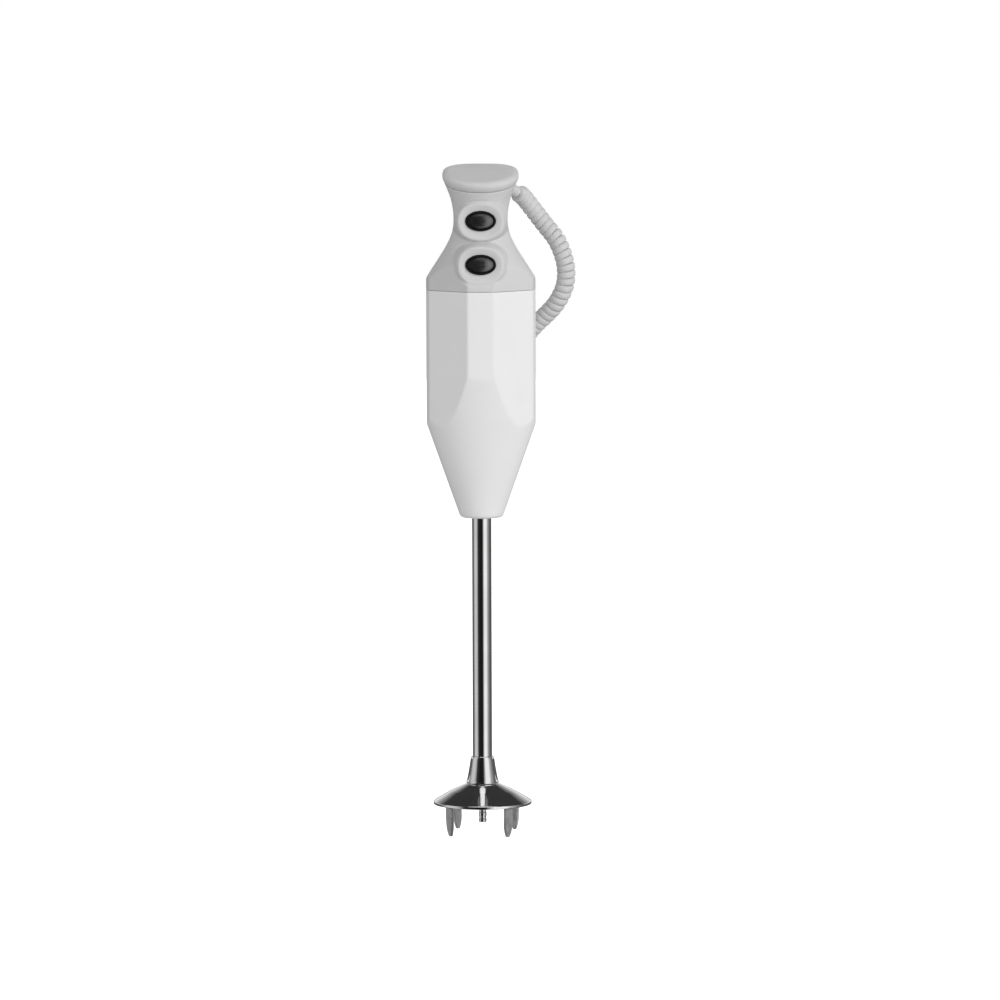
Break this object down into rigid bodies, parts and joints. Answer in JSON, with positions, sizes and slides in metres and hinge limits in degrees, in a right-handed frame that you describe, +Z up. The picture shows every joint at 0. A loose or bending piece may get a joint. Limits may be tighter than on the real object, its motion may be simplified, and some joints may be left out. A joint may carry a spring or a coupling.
{
  "type": "immersion blender",
  "caption": "Slim corded hand blender: two-tone faceted housing, oval push buttons, long polished drive tube, bell guard with prongs, curly cord and plug.",
  "frame": {"origin": "on the drive axis, at the joint between the grey head shell and the white motor housing", "axes": "+Z up along the drive axis towards the cap, -Y towards the push buttons, +X to the side the cord loops out on"},
  "size_m": [0.0772, 0.0792, 0.3462],
  "materials": {
    "white_plastic": "semi-gloss moulded white, fine-grained",
    "grey_plastic": "satin moulded light grey",
    "black_plastic": "satin black",
    "black_rubber": "matt",
    "polished_steel": "polished stainless steel",
    "cast_steel": "satin stainless steel",
    "lamination": "stacked sheet steel",
    "copper": "enamelled copper",
    "brass": "sintered or turned",
    "carbon": "graphite",
    "circuit_board": "phenolic board",
    "film_yellow": "dipped film capacitor",
    "cord_grey": "soft matt sheath",
    "tie_black": "woven hook-and-loop strap"
  },
  "bodies": {
    "housing": {"brush_holder_back": "brass", "brush_holder_front": "brass", "carbon_brush_back": "carbon", "carbon_brush_front": "carbon", "cord_clamp": "black_plastic", "cord_curl": "cord_grey", "cord_tail": "cord_grey", "cord_tie": "tie_black", "field_coil_back": "copper", "field_coil_front": "copper", "guard_bell": "polished_steel", "guard_ferrule": "polished_steel", "guard_prong_1": "cast_steel", "guard_prong_2": "cast_steel", "guard_prong_3": "cast_steel", "guard_prong_4": "cast_steel", "head_shell": "grey_plastic", "housing_shell": "white_plastic", "lower_bearing": "brass", "lower_bridge": "cast_steel", "lower_bush": "brass", "lower_button_seal": "black_rubber", "lower_switch": "black_plastic", "middle_bush": "brass", "motor_screw_1": "polished_steel", "motor_screw_2": "polished_steel", "plug_body": "cord_grey", "plug_pin_left": "brass", "plug_pin_right": "brass", "plug_sleeve": "cord_grey", "shaft_seal": "black_rubber", "shaft_tube": "polished_steel", "speed_diode": "black_plastic", "stator_core": "lamination", "strain_relief": "grey_plastic", "suppression_capacitor": "film_yellow", "switch_carrier": "circuit_board", "top_cap": "grey_plastic", "tube_lock_nut": "brass", "upper_bearing": "brass", "upper_bridge": "cast_steel", "upper_bush": "brass", "upper_button_seal": "black_rubber", "upper_switch": "black_plastic"},
    "drive": {"armature_core": "lamination", "armature_winding_upper": "copper", "armature_winding_lower": "copper", "commutator": "copper", "motor_shaft": "polished_steel", "cooling_fan": "white_plastic", "shaft_coupling": "cast_steel", "drive_shaft": "polished_steel"},
    "upper_button": {"upper_button": "black_plastic", "upper_switch_plunger": "brass"},
    "lower_button": {"lower_button": "black_plastic", "lower_switch_plunger": "brass"}
  },
  "joints": [
    {"name": "drive_spin", "type": "hinge", "parent": "housing", "child": "drive", "pos_m": [0, 0, 0], "axis": [0, 0, 1], "continuous": true},
    {"name": "upper_button_press", "type": "slide", "parent": "housing", "child": "upper_button", "axis": [0, 1, 0], "range_m": [0, 0.0015], "stiffness_N_per_m": 1200},
    {"name": "lower_button_press", "type": "slide", "parent": "housing", "child": "lower_button", "axis": [0, 1, 0], "range_m": [0, 0.0015], "stiffness_N_per_m": 1200}
  ]
}
